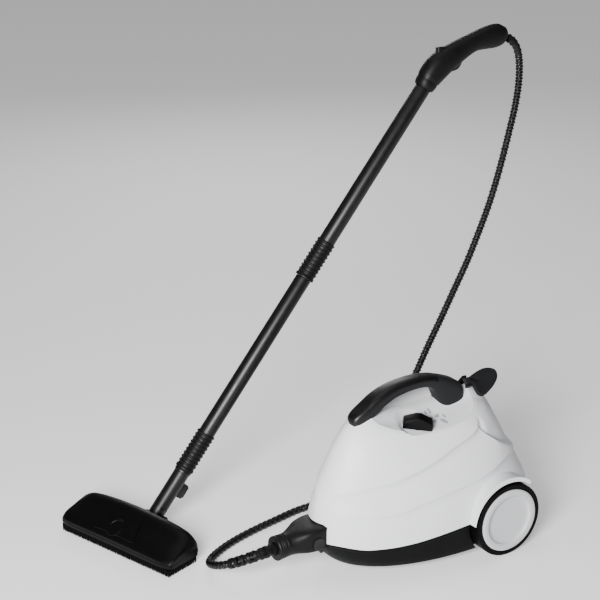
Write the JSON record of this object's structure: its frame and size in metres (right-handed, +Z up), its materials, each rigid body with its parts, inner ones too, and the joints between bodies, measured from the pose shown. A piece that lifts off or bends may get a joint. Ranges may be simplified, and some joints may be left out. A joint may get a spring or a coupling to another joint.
{
  "type": "steam cleaner",
  "caption": "Canister steam cleaner with carrying handle, wheels, steam hose, trigger gun, extension tubes and a swivelling floor head.",
  "frame": {"origin": "middle of the footprint of the machine, wand and floor head, on the floor; the hose is not counted", "axes": "+Z up; the machine's nose and its hose plug point to -Y; its rear wheels turn about X; the wand stands at the -X side"},
  "size_m": [0.5857, 0.9961, 0.9431],
  "materials": {
    "shell_white": "satin",
    "charcoal": "satin",
    "black": "satin",
    "soft_black": "matte",
    "rubber": "matte",
    "tyre": "matte",
    "steel": "brushed",
    "aluminium": "cast",
    "insulation": "felt",
    "brass": "machined",
    "lens": "polished"
  },
  "bodies": {
    "machine": {"upper_shell": "shell_white", "base_tray": "charcoal", "base_screw_1": "steel", "base_screw_2": "steel", "base_screw_3": "steel", "base_screw_4": "steel", "handle_cover": "black", "handle_lower": "soft_black", "hook_bracket": "black", "filler_neck": "steel", "power_lamp": "lens", "ready_lamp": "lens", "boiler_upper": "aluminium", "boiler_lower": "aluminium", "boiler_jacket": "insulation", "boiler_stand": "steel", "heating_element": "steel", "pressure_switch": "black", "steam_pipe": "steel", "solenoid_valve": "brass", "steam_socket": "black", "mains_gland": "soft_black", "rear_axle": "steel", "axle_bush_right": "soft_black", "axle_bush_left": "soft_black"},
    "wheel_right": {"tyre_right": "tyre", "wheel_hub_right": "charcoal", "hub_cap_right": "shell_white"},
    "wheel_left": {"tyre_left": "tyre", "wheel_hub_left": "charcoal", "hub_cap_left": "shell_white"},
    "caster": {"caster_fork": "charcoal", "caster_pin": "steel"},
    "caster_roller": {"caster_wheel": "soft_black"},
    "cord_hook": {"cord_hook": "black"},
    "cap_ring": {"cap_seal": "rubber"},
    "filler_cap": {"filler_cap": "black"},
    "hose_set": {"plug_body": "black", "plug_nozzle": "brass", "strain_relief": "rubber", "hose": "rubber", "gun_relief": "rubber", "gun_shell_left": "black", "gun_shell_right": "black", "upper_tube": "black", "upper_tube_sleeve": "soft_black", "lower_tube": "black", "lower_tube_sleeve": "soft_black", "head_neck": "black"},
    "plug_button_right": {"plug_button_right": "black"},
    "plug_button_left": {"plug_button_left": "black"},
    "gun_trigger": {"gun_trigger": "black"},
    "gun_lock": {"gun_lock": "black"},
    "neck_latch": {"neck_latch": "black"},
    "head_yoke": {"head_yoke": "black"},
    "floor_head": {"head_hood": "black", "pitch_pin": "steel", "head_plate": "soft_black", "bristles": "soft_black"}
  },
  "joints": [
    {"name": "wheel_right_spin", "type": "hinge", "parent": "machine", "child": "wheel_right", "pos_m": [0.272, 0.217, 0.075], "axis": [1, 0, 0], "continuous": true},
    {"name": "wheel_left_spin", "type": "hinge", "parent": "machine", "child": "wheel_left", "pos_m": [0.012, 0.217, 0.075], "axis": [1, 0, 0], "continuous": true},
    {"name": "caster_swivel", "type": "hinge", "parent": "machine", "child": "caster", "pos_m": [0.142, -0.035, 0.04], "axis": [0, 0, 1], "continuous": true},
    {"name": "caster_roll", "type": "hinge", "parent": "caster", "child": "caster_roller", "pos_m": [0.142, -0.015, 0.016], "axis": [1, 0, 0], "continuous": true},
    {"name": "cord_hook_lift", "type": "hinge", "parent": "machine", "child": "cord_hook", "pos_m": [0.144, 0.214, 0.312], "axis": [0.788, 0, -0.6157], "range_deg": [0, 70]},
    {"name": "cap_rise", "type": "slide", "parent": "machine", "child": "cap_ring", "axis": [0.2288, 0, 0.9735], "range_m": [0, 0.008]},
    {"name": "cap_turn", "type": "hinge", "parent": "cap_ring", "child": "filler_cap", "pos_m": [0.187, 0.067, 0.27376], "axis": [0.2288, 0, 0.9735], "range_deg": [0, 720]},
    {"name": "plug_pull", "type": "slide", "parent": "machine", "child": "hose_set", "axis": [0, -1, 0], "range_m": [0, 0.04]},
    {"name": "plug_button_right_press", "type": "slide", "parent": "hose_set", "child": "plug_button_right", "axis": [-1, 0, 0], "range_m": [0, 0.003], "stiffness_N_per_m": 400, "springref_m": -0.002},
    {"name": "plug_button_left_press", "type": "slide", "parent": "hose_set", "child": "plug_button_left", "axis": [1, 0, 0], "range_m": [0, 0.003], "stiffness_N_per_m": 400, "springref_m": -0.002},
    {"name": "trigger_pull", "type": "hinge", "parent": "hose_set", "child": "gun_trigger", "pos_m": [-0.09822, 0.33695, 0.86766], "axis": [0.9962, -0.0872, 0], "range_deg": [0, 8], "stiffness_Nm_per_rad": 0.5, "springref_deg": -5.73},
    {"name": "gun_lock_press", "type": "slide", "parent": "hose_set", "child": "gun_lock", "axis": [-0.0029, -0.033, -0.9995], "range_m": [0, 0.0025], "stiffness_N_per_m": 400, "springref_m": -0.002},
    {"name": "neck_latch_press", "type": "slide", "parent": "hose_set", "child": "neck_latch", "axis": [-0.0697, -0.7966, 0.6004], "range_m": [0, 0.003], "stiffness_N_per_m": 400, "springref_m": -0.002},
    {"name": "head_swivel", "type": "hinge", "parent": "hose_set", "child": "head_yoke", "pos_m": [-0.15479, -0.30961, 0.0482], "axis": [0.2513, -0.7828, 0.5693], "range_deg": [-58, 31]},
    {"name": "head_pitch", "type": "hinge", "parent": "head_yoke", "child": "floor_head", "pos_m": [-0.15208, -0.31806, 0.03537], "axis": [0.9521, 0.3057, 0], "range_deg": [-34, 16]}
  ],
  "couplings": [
    {"joint": "cap_rise", "follows": "cap_turn", "m_per_rad": 0.000636}
  ]
}
